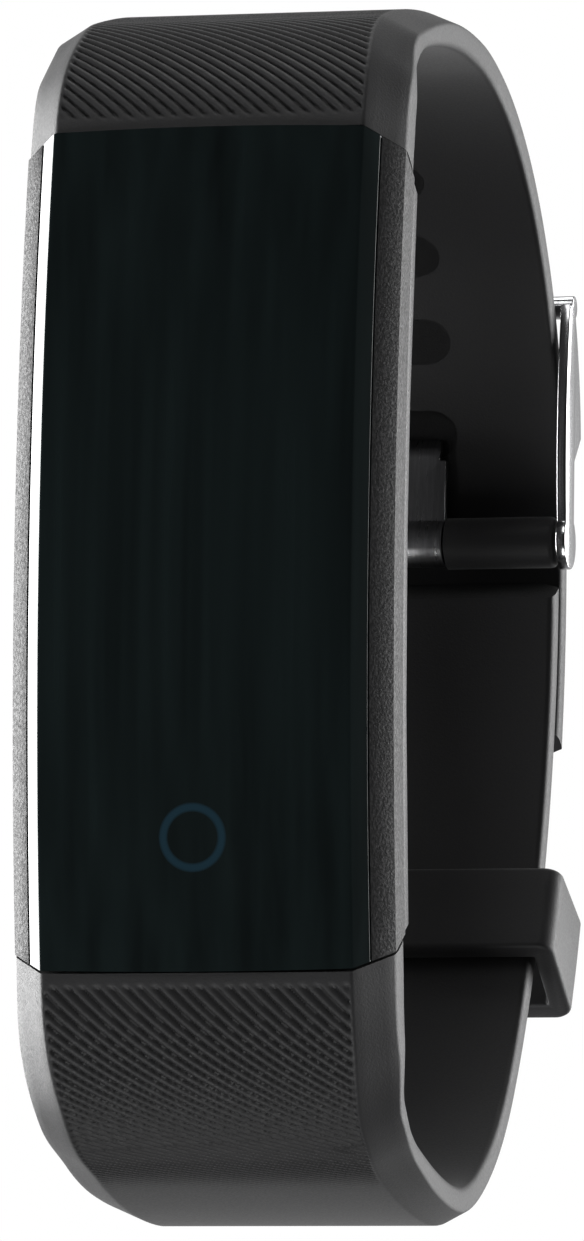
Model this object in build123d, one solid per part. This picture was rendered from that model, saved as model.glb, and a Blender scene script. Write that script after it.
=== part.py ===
"""Fitness tracker band: a curved tracker module held by two rubber strap halves.

The frame's origin is the centre of the wrist opening. +X runs along the wrist, +Y from the display
towards the buckle, +Z up along the display's long axis. All sizes are millimetres.
"""
import math
import os

from build123d import *

# ---- driving dimensions -------------------------------------------------------------------------
FRONT_Y = -29.5            # front apex of the cover glass
DISPLAY_Z = 1.0            # middle of the glass along the strap
CASE_R = 137.0             # the module's lengthwise curve, measured at the glass
CASE_SWEEP = 22.0          # degrees of that curve, before the ends are trimmed
CASE_HALF_W = 9.8
GLASS_HALF_L = 21.4
END_SLANT = math.radians(28)
END_GAP = 0.08             # moulding gap between module and strap

CROWN = 0.25               # the glass is slightly domed across its width
GLASS_FLAT = 8.0           # half width inside the bevel
GLASS_HALF_W = 8.75
BEVEL_DEPTH = 1.1
GLASS_BACK = 1.35
LEDGE_TOP = 1.5
LEDGE_BACK = 2.2
FLANK_DEPTH = 2.25
SPLIT_DEPTH = 4.4          # joint between the top housing and the rear cover
FLOOR_DEPTH = 8.2
BACK_DEPTH = 9.0
BUMP_DEPTH = 9.9
WINDOW_DEPTH = 10.05
BACK_HALF_W = 7.3
WALL = 1.3
CAVITY_HALF_L = 15.6
KEY_Z = -14.7              # touch key's place below the glass centre
DISPLAY_WINDOW = (7.0, -12.4, 15.2)     # half width, lowest and highest point of its cut-out

STRAP_T = 2.0              # strap thickness away from the module
SEAM_T = 4.3               # strap thickness at the module
LAYER_GAP = 0.1            # between the buckle strap and the tail that lies on it
BACK_R = 45.2              # outer face of the buckle strap behind the wrist
TAIL_END = -22.5           # lowest point of the tail, height above the glass centre
STRAP_END = 6.4            # height of the spring bar at the end of the buckle strap
PLAN = [(-3.0, 9.8), (3.5, 9.8), (7.0, 9.45), (12.0, 9.2), (34.0, 8.4), (62.0, 8.4)]
FLANK = (1.6, 0.9)         # chamfer on the strap's outer edges: across and deep

BAR_R = 0.65               # spring bar tube
TUBE_BORE_R = 0.50
PIN_R = 0.45
TIP_R = 0.35
TIP_HOLE_R = 0.42
PIN_TRAVEL = 0.8
PIN_BODY = 1.5             # length of a pin kept inside its tube

EYE = (4.3, 18.1)          # strap bar at a module end: depth, height from the glass centre
EYE_HALF_W = 6.4
POCKET_HALF_W = 6.6
ARM_INNER, ARM_OUTER = 8.6, 9.15
BOSS_R = 1.5               # round end of an arm, about the spring bar
CROSS_BAR = (49.5, 19.4, 0.63)          # buckle's far bar: depth, height, radius
CROSS_BAR_HALF_L = 8.95
BARREL_R = 1.25            # tongue's barrel about the spring bar
TONGUE_HALF_W = 2.2        # wide plate from the barrel to the hole
PRONG_HALF_W, PRONG_FROM = 1.85, 11.0   # narrower from this height on
TONGUE_T = 0.6
TONGUE_LINE = [(48.95, 11.4), (52.15, 13.95), (50.75, 19.3), (50.65, 20.7)]
NOTCH_HALF_W = 2.35
BEHIND = (40, 60)          # depths that lie behind the wrist
KNUCKLE_R = 1.4

HOLE = (5.0, 2.6)          # strap hole, across and along the strap
HOLE_PITCH = 5.5
HOLES_ABOVE, HOLES_BELOW = 5, 3         # counted from the hole in use
HOLE_IN_USE = 12.8         # its height above the glass centre

KEEPER_ANGLE = -25.7       # position of the keeper on the back arc, degrees
KEEPER_W = 5.4
KEEPER_WALL = 1.2
KEEPER_CLEAR = 0.25

SIDE = Plane.YZ            # sketches of side views: depth and height


# ---- shared helpers -----------------------------------------------------------------------------
def at(depth, height):
    """A side-view point, given from the glass apex and the glass centre."""
    return (FRONT_Y + depth, DISPLAY_Z + height)


def side_solid(face, half_width):
    """A side-view face extruded both ways along X."""
    return extrude(SIDE * face, amount=half_width, both=True)


def box(x, depth, height):
    """A block from three (low, high) pairs: X, depth and height."""
    low = (x[0], FRONT_Y + depth[0], DISPLAY_Z + height[0])
    size = (x[1] - x[0], depth[1] - depth[0], height[1] - height[0])
    return Pos(*low) * Box(*size, align=(Align.MIN, Align.MIN, Align.MIN))


def rod(radius, x, depth, height):
    """A cylinder along X."""
    y, z = at(depth, height)
    middle = (x[0] + x[1]) / 2
    return Pos(middle, y, z) * Rot(0, 90, 0) * Cylinder(radius, x[1] - x[0])


def post(radius, x, depth, height):
    """A cylinder along Y, through the thickness of the module."""
    middle = FRONT_Y + (depth[0] + depth[1]) / 2
    return Pos(x, middle, DISPLAY_Z + height) * Rot(90, 0, 0) * Cylinder(radius, depth[1] - depth[0])


def case_sweep(points):
    """A half section (x, depth) mirrored in X and carried along the module's lengthwise curve."""
    outline = [(x, FRONT_Y + d) for x, d in points]
    outline += [(-x, y) for x, y in reversed(outline) if x > 0]
    face = make_face(Polyline(*outline, close=True))
    return swept_along_case(face)


def swept_along_case(face):
    axis = Axis((0, FRONT_Y + CASE_R, DISPLAY_Z), (1, 0, 0))
    start = (Pos(0, 0, DISPLAY_Z) * face).rotate(axis, -CASE_SWEEP / 2)
    return revolve(start, axis, CASE_SWEEP)


def curved_block(half_width, depths, heights):
    """A block that follows the module's curve, with flat ends."""
    section = [(half_width, depths[0]), (half_width, depths[1])]
    return case_sweep(section) & box((-20, 20), (-5, 25), heights)


def end_trim(gap):
    """The module's side view: its ends slant inwards towards the wrist."""
    near, far = -2.0, 13.0
    seam_depth = CASE_R - math.sqrt(CASE_R ** 2 - GLASS_HALF_L ** 2)
    top = GLASS_HALF_L - gap

    def end(depth):
        return top - (depth - seam_depth) * math.tan(END_SLANT)

    corners = [(near, end(near)), (far, end(far)), (far, -end(far)), (near, -end(near))]
    return side_solid(make_face(Polyline(*[at(*c) for c in corners], close=True)), 15)


# ---- tracker module -----------------------------------------------------------------------------
def cover_glass():
    edge = (GLASS_FLAT, FRONT_Y + CROWN)
    left = (-GLASS_FLAT, FRONT_Y + CROWN)
    crown = ThreePointArc(left, (0, FRONT_Y), edge)
    rest = Polyline(edge, (GLASS_HALF_W, FRONT_Y + BEVEL_DEPTH), (GLASS_HALF_W, FRONT_Y + GLASS_BACK),
                    (-GLASS_HALF_W, FRONT_Y + GLASS_BACK), (-GLASS_HALF_W, FRONT_Y + BEVEL_DEPTH), left)
    return swept_along_case(make_face(crown + rest)) & end_trim(END_GAP)


def lens_adhesive():
    half, low, high = DISPLAY_WINDOW
    sheet = curved_block(GLASS_HALF_W - 0.1, (1.38, 1.47), (-19.8, 19.8)) - post(2.6, 0, (0, 5), KEY_Z)
    return sheet - box((-half - 0.1, half + 0.1), (0, 5), (low - 0.1, high + 0.1))


def screw_places():
    return [(x, z) for x in (-6.9, 6.9) for z in (-14.1, 14.1)]


def strap_pocket(sign):
    """The recess in a module end for the strap's eye, with blind holes for the bar's pin tips."""
    depth, height = EYE
    pocket = rod(1.25, (-POCKET_HALF_W, POCKET_HALF_W), depth, sign * height)
    mouth = sorted((sign * height, sign * 24))
    pocket += box((-POCKET_HALF_W, POCKET_HALF_W), (depth - 1.25, depth + 1.25), mouth)
    return pocket + rod(TIP_HOLE_R, (-7.55, 7.55), depth, sign * height)


def top_housing():
    x = GLASS_HALF_W + 0.05
    outer = case_sweep([(x, LEDGE_TOP), (x, BEVEL_DEPTH), (CASE_HALF_W, FLANK_DEPTH),
                        (CASE_HALF_W, SPLIT_DEPTH)]) & end_trim(END_GAP)
    half, low, high = DISPLAY_WINDOW
    inside = curved_block(CASE_HALF_W - WALL, (LEDGE_BACK, 9), (-CAVITY_HALF_L, CAVITY_HALF_L))
    shell = outer - inside - box((-half, half), (0, 5), (low, high))
    shell -= post(2.6, 0, (0.5, 2.6), KEY_Z)
    for sx, sz in screw_places():
        shell += post(1.0, sx, (2.6, 4.85), sz) & curved_block(9, (LEDGE_BACK - 0.2, 9), (-20, 20))
        shell -= post(0.42, sx, (3.3, 6), sz)
    for sign in (-1, 1):
        shell -= strap_pocket(sign)
    return shell


def case_seal():
    ring = curved_block(9.45, (SPLIT_DEPTH + 0.01, SPLIT_DEPTH + 0.19), (-16.4, 16.4))
    return ring - box((-8.65, 8.65), (0, 9), (-15.75, 15.75))


def rear_cover():
    top = SPLIT_DEPTH + 0.2
    outer = case_sweep([(CASE_HALF_W - 0.1, top), (CASE_HALF_W - 0.1, 5.6), (9.3, 7.2),
                        (8.5, 8.5), (BACK_HALF_W, BACK_DEPTH)]) & end_trim(END_GAP)
    inside = case_sweep([(8.5, top - 1), (8.5, 6.0), (8.2, 7.0), (7.4, FLOOR_DEPTH)])
    shell = outer - (inside & box((-20, 20), (-5, 25), (-CAVITY_HALF_L, CAVITY_HALF_L)))
    bump = post(6.4, 0, (8.5, BUMP_DEPTH), 0)
    shell += chamfer(bump.edges().filter_by(GeomType.CIRCLE).sort_by(Axis.Y)[-1], 0.6)
    shell -= post(5.25, 0, (9.12, 12), 0) + post(4.4, 0, (6, 10), 0)
    for x in (-2.6, 2.6):
        shell -= post(1.15, x, (6, 12), -10.4)
    for sx, sz in screw_places():
        shell += post(1.0, sx, (5.2, 8.8), sz)
        shell -= post(0.5, sx, (3, 12), sz) + post(0.85, sx, (8.7, 12), sz)
    for sign in (-1, 1):
        shell -= strap_pocket(sign)
    return shell


def housing_screws():
    screws = []
    for sx, sz in screw_places():
        screw = post(0.4, sx, (3.5, 8.8), sz) + post(0.8, sx, (8.72, 9.4), sz)
        screw -= box((sx - 0.55, sx + 0.55), (9.15, 9.6), (sz - 0.12, sz + 0.12))
        screw -= box((sx - 0.12, sx + 0.12), (9.15, 9.6), (sz - 0.55, sz + 0.55))
        screws.append(screw)
    return screws


def sensor_window():
    disc = post(5.2, 0, (9.14, WINDOW_DEPTH), 0)
    return fillet(disc.edges().filter_by(GeomType.CIRCLE).sort_by(Axis.Y)[-1], 0.3)


def charging_contacts():
    return [post(1.1, x, (7.25, 9.06), -10.4) for x in (-2.6, 2.6)]


def sensor_light_shield():
    """Foam block that keeps the LEDs' light off the photodiode inside the module."""
    block = post(4.2, 0, (7.22, 9.08), 0)
    block -= box((-1.4, 1.4), (7, 10), (-1.4, 1.4))
    for sign in (-1, 1):
        middle = sign * 2.75
        block -= box((-1.0, 1.0), (7, 10), (middle - 0.6, middle + 0.6))
    return block


def green_leds():
    return [box((-0.8, 0.8), (7.22, 7.9), (z - 0.4, z + 0.4)) for z in (-2.75, 2.75)]


def display_flex():
    """Ribbon from the back of the display panel down to the main board."""
    ribbon = box((-3, 3), (3.47, 3.57), (-5.42, -3.2))
    return ribbon + box((-3, 3), (3.47, 6.58), (-5.42, -5.3))


MOTOR_Z = -10.2
MOTOR_R = 4.0


def vibration_motor_case():
    """Coin motor's can, with the rotor's chamber and its fixed axle."""
    can = post(MOTOR_R, 0, (3.75, 6.35), MOTOR_Z)
    chamber = post(MOTOR_R - 0.25, 0, (4.0, 6.1), MOTOR_Z)
    return can - chamber + post(0.4, 0, (3.9, 6.2), MOTOR_Z)


def vibration_motor_weight():
    """Half-disc rotor: its weight is all on one side of the axle, which makes the buzz."""
    disc = post(3.55, 0, (4.3, 5.8), MOTOR_Z)
    half = disc & box((-5, 5), (4, 6), (MOTOR_Z, MOTOR_Z + 5))
    hub = post(1.0, 0, (4.3, 5.8), MOTOR_Z)
    return half + hub - post(0.45, 0, (4, 6), MOTOR_Z)


# ---- straps -------------------------------------------------------------------------------------
def turtle(start, heading, steps):
    """Tangent arcs from start: each step is (radius, turn in degrees, positive to the left)."""
    wires, place, angle = [], start, heading
    for radius, turn in steps:
        direction = (math.cos(math.radians(angle)), math.sin(math.radians(angle)))
        arc = JernArc(place, direction, radius, turn)
        wires.append(arc)
        place, angle = tuple(arc @ 1)[:2], angle + turn
    return wires, place, angle


def step_in(place, heading, distance):
    """A point moved to the left of its heading."""
    a = math.radians(heading)
    return (place[0] - distance * math.sin(a), place[1] + distance * math.cos(a))


LOWER_START, LOWER_HEADING = (1.9, -21.45), -82.6
LOWER_CORNER, LOWER_SHELF, LOWER_HEEL = (10.8, 66.6), (52.0, 16.0), (20.6, 50.0)
UPPER_START, UPPER_HEADING = (2.1, 21.45), 78.9
UPPER_CORNER, UPPER_SHELF = (8.5, -63.0), (72.0, -15.9)


def back_centre():
    """Centre of the arc behind the wrist, as depth and height."""
    _, heel_end, heading = turtle(LOWER_START, LOWER_HEADING, [LOWER_CORNER, LOWER_SHELF, LOWER_HEEL])
    return step_in(heel_end, heading, BACK_R)


BACK_CENTRE = back_centre()
TAIL_R = BACK_R + LAYER_GAP + STRAP_T           # outer face of the tail


def back_depth(radius, height):
    """Depth of a point on a circle about the back arc's centre."""
    return BACK_CENTRE[0] + math.sqrt(radius ** 2 - (height - BACK_CENTRE[1]) ** 2)


BUCKLE_BAR = (back_depth(TAIL_R - STRAP_T, STRAP_END) - KNUCKLE_R - 0.06, STRAP_END)


def seam_inner(sign):
    """Where the strap's inner face meets the module's slanted end."""
    seam_depth = CASE_R - math.sqrt(CASE_R ** 2 - GLASS_HALF_L ** 2)
    return (seam_depth + SEAM_T, sign * (GLASS_HALF_L - SEAM_T * math.tan(END_SLANT)))


def strap_face(start, heading, corner, arcs, turning):
    """Side view of a strap: constant thickness after the corner, thicker towards the module."""
    bend, bend_end, bend_heading = turtle(at(*start), heading, [corner])
    outer, tip, tip_heading = turtle(bend_end, bend_heading, arcs)
    tip_inner = step_in(tip, tip_heading, -turning * STRAP_T)
    inner, root, root_heading = turtle(tip_inner, tip_heading + 180,
                                       [(r - STRAP_T, -t) for r, t in reversed(arcs)])
    direction = (math.cos(math.radians(root_heading)), math.sin(math.radians(root_heading)))
    seam = at(*seam_inner(turning))
    thick = TangentArc(root, seam, tangent=direction)
    edges = bend + outer + [Line(tip, tip_inner)] + inner + [thick, Line(seam, at(*start))]
    return make_face(edges)


def back_layer_tip(radius, height):
    """Angle about the back arc's centre at a given height."""
    return math.degrees(math.asin((height - BACK_CENTRE[1]) / radius))


def plan_solid():
    """The straps' width seen from above: it narrows from the module to the buckle."""
    right = [(w, FRONT_Y + d) for d, w in PLAN]
    left = [(-x, y) for x, y in reversed(right)]
    face = make_face(Polyline(*right, *left, close=True))
    return extrude(Pos(0, 0, -60) * face, amount=120)


def strap_eye(sign):
    """The tab that reaches into the module end, with the bar's hole through it."""
    depth, height = EYE
    tab = rod(1.05, (-EYE_HALF_W, EYE_HALF_W), depth, sign * height)
    reach = sorted((sign * height, sign * (height + 4.0)))
    return tab + box((-EYE_HALF_W, EYE_HALF_W), (depth - 1.0, depth + 1.0), reach)


def eye_bore(sign):
    depth, height = EYE
    return rod(BAR_R + 0.05, (-10, 10), depth, sign * height)


def seam_clearance():
    return end_trim(-END_GAP) - strap_eye(1) - strap_eye(-1)


def flanked_strap(face, outline):
    """A strap's solid: tapered in width, with sloping flanks along both outer edges."""
    half = extrude(SIDE * face, amount=-CASE_HALF_W - 2) & plan_solid()
    outer_arcs = [SIDE * arc for arc in outline]
    edges = []
    for edge in half.edges():
        middle = edge @ 0.5
        on_outline = min(arc.distance_to(Vertex(0, middle.Y, middle.Z)) for arc in outer_arcs) < 0.01
        if middle.X < -8 and on_outline and edge.length > 0.5:
            edges.append(edge)
    half = half.solids()[0].chamfer(FLANK[0], FLANK[1], edges)
    return half + mirror(half, Plane.YZ)


def dome_radius(apex):
    """Radius of the arc over the top that runs smoothly into the tail's arc."""
    a, b = apex[0] - at(*BACK_CENTRE)[0], apex[1] - at(*BACK_CENTRE)[1]
    return (TAIL_R ** 2 - a ** 2 - b ** 2) / (2 * (TAIL_R - b))


def upper_arcs():
    """The hole strap after its corner: shelf, dome and tail."""
    _, apex, _ = turtle(at(*UPPER_START), UPPER_HEADING, [UPPER_CORNER, UPPER_SHELF])
    dome = dome_radius(apex)
    rise = math.asin((apex[1] - dome - at(*BACK_CENTRE)[1]) / (TAIL_R - dome))
    join = math.degrees(rise)
    tail = join - back_layer_tip(TAIL_R, TAIL_END)
    return [UPPER_SHELF, (dome, join - 90), (TAIL_R, -tail)], (apex[0], apex[1] - dome), dome


def hole_angles():
    """Angles about the dome's centre: the hole in use first, then the ones above it."""
    _, centre, dome = upper_arcs()
    middle = dome - STRAP_T / 2
    first = math.degrees(math.asin((DISPLAY_Z + HOLE_IN_USE - centre[1]) / middle))
    step = math.degrees(HOLE_PITCH / middle)
    return [first + step * i for i in range(HOLES_ABOVE + 1)]


def hole_cutter():
    slot = SlotOverall(HOLE[0], HOLE[1])
    return extrude(slot, amount=3, both=True)


def strap_holes():
    """Slots across the strap, square to its surface: on the dome and down the tail."""
    _, centre, dome = upper_arcs()
    cutters = []
    for angle in hole_angles():
        cutters.append((centre, dome - STRAP_T / 2, angle))
    tail_middle = TAIL_R - STRAP_T / 2
    step = math.degrees(HOLE_PITCH / tail_middle)
    first = back_layer_tip(tail_middle, HOLE_IN_USE)
    for i in range(1, HOLES_BELOW + 1):
        cutters.append((at(*BACK_CENTRE), tail_middle, first - step * i))
    solids = []
    for (cy, cz), radius, angle in cutters:
        a = math.radians(angle)
        place = Plane(origin=(0, cy + radius * math.cos(a), cz + radius * math.sin(a)),
                      x_dir=(1, 0, 0), z_dir=(0, math.cos(a), math.sin(a)))
        solids.append(place * hole_cutter())
    return solids


def strap_solid(start, heading, corner, arcs, turning):
    """A strap with its eye, cut back from the module's slanted end."""
    face = strap_face(start, heading, corner, arcs, turning)
    outline, _, _ = turtle(at(*start), heading, [corner] + arcs)
    strap = flanked_strap(face, outline) - seam_clearance() + strap_eye(turning)
    return strap - eye_bore(turning)


def upper_strap():
    """The half with the holes: over the top of the wrist and down behind the buckle."""
    arcs, _, _ = upper_arcs()
    strap = strap_solid(UPPER_START, UPPER_HEADING, UPPER_CORNER, arcs, 1)
    for cutter in strap_holes():
        strap -= cutter
    return strap


def lower_strap():
    """The buckle half: under the wrist and up to the knuckle that holds the spring bar."""
    arcs = [LOWER_SHELF, LOWER_HEEL]
    _, _, heading = turtle(at(*LOWER_START), LOWER_HEADING, [LOWER_CORNER] + arcs)
    arcs.append((BACK_R, 90 - heading + back_layer_tip(BACK_R, STRAP_END)))
    strap = strap_solid(LOWER_START, LOWER_HEADING, LOWER_CORNER, arcs, -1)
    depth, height = BUCKLE_BAR
    strap += rod(KNUCKLE_R, (-8.4, 8.4), depth, height)
    strap -= rod(BAR_R + 0.05, (-12, 12), depth, height)
    return strap - box((-NOTCH_HALF_W, NOTCH_HALF_W), BEHIND, (height - 1.9, height + 4))


# ---- buckle -------------------------------------------------------------------------------------
def buckle_frame():
    """Polished frame: two flat arms that pivot on the bar's pin tips, joined by the far round bar."""
    depth, height = BUCKLE_BAR
    bar_depth, bar_height, bar_r = CROSS_BAR
    inner_low, inner_high = at(47.9, height), at(48.3, bar_height)
    top, shoulder, neck = at(bar_depth, bar_height), at(51.5, 12.4), at(49.8, 10.9)
    outline = [ThreePointArc(inner_low, at(47.5, 12.5), inner_high), Line(inner_high, top),
               ThreePointArc(top, at(50.9, 15.8), shoulder), Line(shoulder, neck),
               Polyline(neck, at(49.8, height), inner_low)]
    arm = make_face(outline) + Pos(*at(depth, height)) * Circle(BOSS_R) + Pos(*top) * Circle(bar_r)
    arms = side_solid(arm, ARM_OUTER)
    arms -= box((-ARM_INNER, ARM_INNER), (30, 70), (-10, 40))
    frame = arms + rod(bar_r, (-CROSS_BAR_HALF_L, CROSS_BAR_HALF_L), bar_depth, bar_height)
    return frame - rod(TIP_HOLE_R, (-9.02, 9.02), depth, height)


def buckle_tongue():
    """Flat prong: its barrel turns on the bar, it passes out through the hole and over the far bar."""
    path = FilletPolyline(*[at(*p) for p in [BUCKLE_BAR] + TONGUE_LINE], radius=0.5)
    strip = make_face(offset(path, TONGUE_T / 2, kind=Kind.ARC))
    strip += Pos(*at(*BUCKLE_BAR)) * Circle(BARREL_R)
    narrow = box((-PRONG_HALF_W, PRONG_HALF_W), BEHIND, (PRONG_FROM - 1, 30))
    plate = box((-TONGUE_HALF_W, TONGUE_HALF_W), BEHIND, (0, PRONG_FROM))
    prong = side_solid(strip, TONGUE_HALF_W) & (plate + narrow)
    return prong - rod(BAR_R + 0.07, (-9, 9), *BUCKLE_BAR)


def keeper_loop():
    """Rubber band around both straps: it slides along the back arc."""
    y, z = at(*BACK_CENTRE)
    inner_r = BACK_R - STRAP_T - KEEPER_CLEAR
    outer_r = TAIL_R + KEEPER_CLEAR
    half = math.degrees(KEEPER_W / 2 / BACK_R)
    half_w = PLAN[-1][1] + KEEPER_CLEAR

    def ring(r0, r1, width, spread):
        low, high = math.radians(KEEPER_ANGLE - spread), math.radians(KEEPER_ANGLE + spread)
        mid = math.radians(KEEPER_ANGLE)

        def point(r, a):
            return (y + r * math.cos(a), z + r * math.sin(a))

        edges = [ThreePointArc(point(r1, low), point(r1, mid), point(r1, high)),
                 Line(point(r1, high), point(r0, high)),
                 ThreePointArc(point(r0, high), point(r0, mid), point(r0, low)),
                 Line(point(r0, low), point(r1, low))]
        return side_solid(make_face(edges), width)

    band = ring(inner_r - KEEPER_WALL, outer_r + KEEPER_WALL, half_w + KEEPER_WALL, half)
    corners = band.edges().filter_by(GeomType.CIRCLE)
    return fillet(corners, 1.0) - ring(inner_r, outer_r, half_w, half + 5)


# ---- spring bars --------------------------------------------------------------------------------
def bar_tube(half_length, depth, height):
    return rod(BAR_R, (-half_length, half_length), depth, height) - rod(
        TUBE_BORE_R, (-half_length - 1, half_length + 1), depth, height)


def bar_pin(sign, half_length, tip_end, depth, height):
    body = sorted((sign * (half_length - PIN_BODY), sign * half_length))
    tip = sorted((sign * half_length, sign * tip_end))
    return rod(PIN_R, body, depth, height) + rod(TIP_R, tip, depth, height)


def bar_spring(half_length, depth, height):
    """Closed sleeve standing for the coil that pushes the two pins apart."""
    end = half_length - PIN_BODY - 0.05
    return rod(0.42, (-end, end), depth, height) - rod(0.26, (-9, 9), depth, height)


SPRING_BARS = {
    "upper_bar": (EYE_HALF_W - 0.2, 7.42, EYE[0], EYE[1]),
    "lower_bar": (EYE_HALF_W - 0.2, 7.42, EYE[0], -EYE[1]),
    "buckle_bar": (8.2, 8.95, *BUCKLE_BAR),
}


# ---- all nodes ----------------------------------------------------------------------------------
def nodes():
    parts = {
        "cover_glass": cover_glass(),
        "lens_adhesive": lens_adhesive(),
        "top_housing": top_housing(),
        "case_seal": case_seal(),
        "rear_cover": rear_cover(),
        "housing_screws": housing_screws(),
        "sensor_window": sensor_window(),
        "charging_contacts": charging_contacts(),
        "sensor_light_shield": sensor_light_shield(),
        "green_leds": green_leds(),
        "photodiode": box((-1.2, 1.2), (7.22, 7.9), (-1.2, 1.2)),
        "display_panel": box((-6.2, 6.2), (2.45, 3.45), (-5.0, 13.0)),
        "display_flex": display_flex(),
        "touch_key_electrode": post(2.4, 0, (2.42, 2.55), KEY_Z),
        "battery": fillet(box((-7.0, 7.0), (3.75, 6.25), (-4.8, 12.6)).edges(), 0.4),
        "main_board": box((-7.2, 7.2), (6.6, 7.2), (-12.6, 12.6)),
        "processor_chip": box((-2.5, 2.5), (7.22, 8.0), (6.0, 11.0)),
        "motion_sensor_chip": box((3.6, 5.8), (7.22, 7.9), (-7.4, -5.2)),
        "vibration_motor_case": vibration_motor_case(),
        "vibration_motor_weight": vibration_motor_weight(),
        "upper_strap": upper_strap(),
        "lower_strap": lower_strap(),
        "buckle_frame": buckle_frame(),
        "buckle_tongue": buckle_tongue(),
        "keeper_loop": keeper_loop(),
    }
    for name, (half_length, tip_end, depth, height) in SPRING_BARS.items():
        parts[name + "_tube"] = bar_tube(half_length, depth, height)
        parts[name + "_spring"] = bar_spring(half_length, depth, height)
        parts[name + "_pin_left"] = bar_pin(-1, half_length, tip_end, depth, height)
        parts[name + "_pin_right"] = bar_pin(1, half_length, tip_end, depth, height)
    return parts


os.makedirs("parts", exist_ok=True)
for node, shape in nodes().items():
    solids = shape if isinstance(shape, list) else [shape]
    export_step(Compound(children=[s for part in solids for s in part.solids()]),
                os.path.join("parts", node + ".step"))
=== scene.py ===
import math

import bmesh
import bpy
from mathutils import Matrix, Quaternion, Vector


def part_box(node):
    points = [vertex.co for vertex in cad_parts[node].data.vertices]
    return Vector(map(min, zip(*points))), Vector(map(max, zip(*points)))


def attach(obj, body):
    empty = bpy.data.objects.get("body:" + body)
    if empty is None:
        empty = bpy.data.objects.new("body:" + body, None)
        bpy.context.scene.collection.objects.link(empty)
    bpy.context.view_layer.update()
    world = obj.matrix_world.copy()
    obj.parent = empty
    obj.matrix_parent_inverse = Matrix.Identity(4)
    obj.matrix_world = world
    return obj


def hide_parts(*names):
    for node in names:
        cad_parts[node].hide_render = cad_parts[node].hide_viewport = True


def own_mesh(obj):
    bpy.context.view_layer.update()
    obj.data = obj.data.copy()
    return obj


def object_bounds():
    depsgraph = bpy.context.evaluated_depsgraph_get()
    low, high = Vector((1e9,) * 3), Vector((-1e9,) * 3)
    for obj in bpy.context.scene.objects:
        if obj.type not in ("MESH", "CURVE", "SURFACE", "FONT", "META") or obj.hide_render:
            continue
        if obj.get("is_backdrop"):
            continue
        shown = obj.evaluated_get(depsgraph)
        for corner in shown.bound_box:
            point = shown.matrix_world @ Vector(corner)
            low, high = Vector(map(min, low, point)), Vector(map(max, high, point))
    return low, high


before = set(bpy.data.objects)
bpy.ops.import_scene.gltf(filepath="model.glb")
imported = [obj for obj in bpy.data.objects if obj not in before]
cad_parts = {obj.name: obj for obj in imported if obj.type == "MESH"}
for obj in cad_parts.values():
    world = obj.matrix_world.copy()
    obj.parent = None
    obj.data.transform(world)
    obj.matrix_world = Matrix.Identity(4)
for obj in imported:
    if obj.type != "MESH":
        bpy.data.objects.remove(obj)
cad_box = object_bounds()
scene = bpy.context.scene


# ---- Camera ---------------------------------------------------------------------------------------
# A long lens half a metre from the band, to its right and a little below it, looking slightly up
# at a point just behind the middle of the cover glass.
CAMERA_AIM = Vector((0.00475, -0.0279, -0.0028))
CAMERA_DISTANCE = 0.5
CAMERA_TURN, CAMERA_RISE, CAMERA_ROLL = (math.radians(a) for a in (13.22, -7.19, 0.79))
CAMERA_LENS = 291.0

backwards = Vector((math.sin(CAMERA_TURN) * math.cos(CAMERA_RISE),
                    -math.cos(CAMERA_TURN) * math.cos(CAMERA_RISE),
                    math.sin(CAMERA_RISE)))
camera = bpy.data.objects.new("camera", bpy.data.cameras.new("camera"))
camera.data.lens = CAMERA_LENS
camera.data.sensor_width = 36.0
camera.data.clip_start = 0.01
camera.location = CAMERA_AIM + backwards * CAMERA_DISTANCE
camera.rotation_mode = "QUATERNION"
camera.rotation_quaternion = backwards.to_track_quat("Z", "Y") @ Quaternion((0, 0, 1), CAMERA_ROLL)
scene.collection.objects.link(camera)
scene.camera = camera
scene.view_settings.view_transform = "Standard"


# ---- Studio ---------------------------------------------------------------------------------------
# A white tent that is open towards the camera, so what faces the front stays dark and the sides
# catch the light, with a large soft box on each side, one overhead, two small fills in front, high
# and low, and a pale floor well below.
FLOOR_Z = -0.16
TENT_FRONT, TENT_SIDE, TENT_BACK = 0.02, 0.07, 0.5
SOFT_BOXES = {                     # place, size, watts; each one points at the middle of the band
    "left_box": ((-0.54, 0.12, 0.0), 0.5, 12.0),
    "right_box": ((0.52, 0.40, 0.0), 0.6, 8.5),
    "top_box": ((0.0, 0.12, 0.60), 0.3, 1.2),
    "high_fill": ((-0.04, -0.55, 0.62), 0.35, 1.6),
    "low_fill": ((-0.04, -0.50, -0.60), 0.35, 3.4),
}

world = bpy.data.worlds.new("white_tent")
world.use_nodes = True
scene.world = world
tree = world.node_tree
sky = tree.nodes["Background"]
direction = tree.nodes.new("ShaderNodeTexCoord")
split = tree.nodes.new("ShaderNodeSeparateXYZ")
falloff = tree.nodes.new("ShaderNodeValToRGB")
remap = tree.nodes.new("ShaderNodeMapRange")
ray = tree.nodes.new("ShaderNodeLightPath")
seen = tree.nodes.new("ShaderNodeMix")
seen.data_type = "RGBA"
seen.inputs["B"].default_value = (1.0, 1.0, 1.0, 1.0)
remap.inputs["From Min"].default_value = -1.0
falloff.color_ramp.interpolation = "EASE"
falloff.color_ramp.elements[0].position = 0.12
falloff.color_ramp.elements[0].color = (TENT_FRONT, TENT_FRONT, TENT_FRONT, 1)
falloff.color_ramp.elements[1].position = 1.0
falloff.color_ramp.elements[1].color = (TENT_BACK, TENT_BACK, TENT_BACK, 1)
side = falloff.color_ramp.elements.new(0.55)
side.color = (TENT_SIDE, TENT_SIDE, TENT_SIDE, 1)
tree.links.new(direction.outputs["Generated"], split.inputs["Vector"])
tree.links.new(split.outputs["Y"], remap.inputs["Value"])
tree.links.new(remap.outputs["Result"], falloff.inputs["Fac"])
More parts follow.
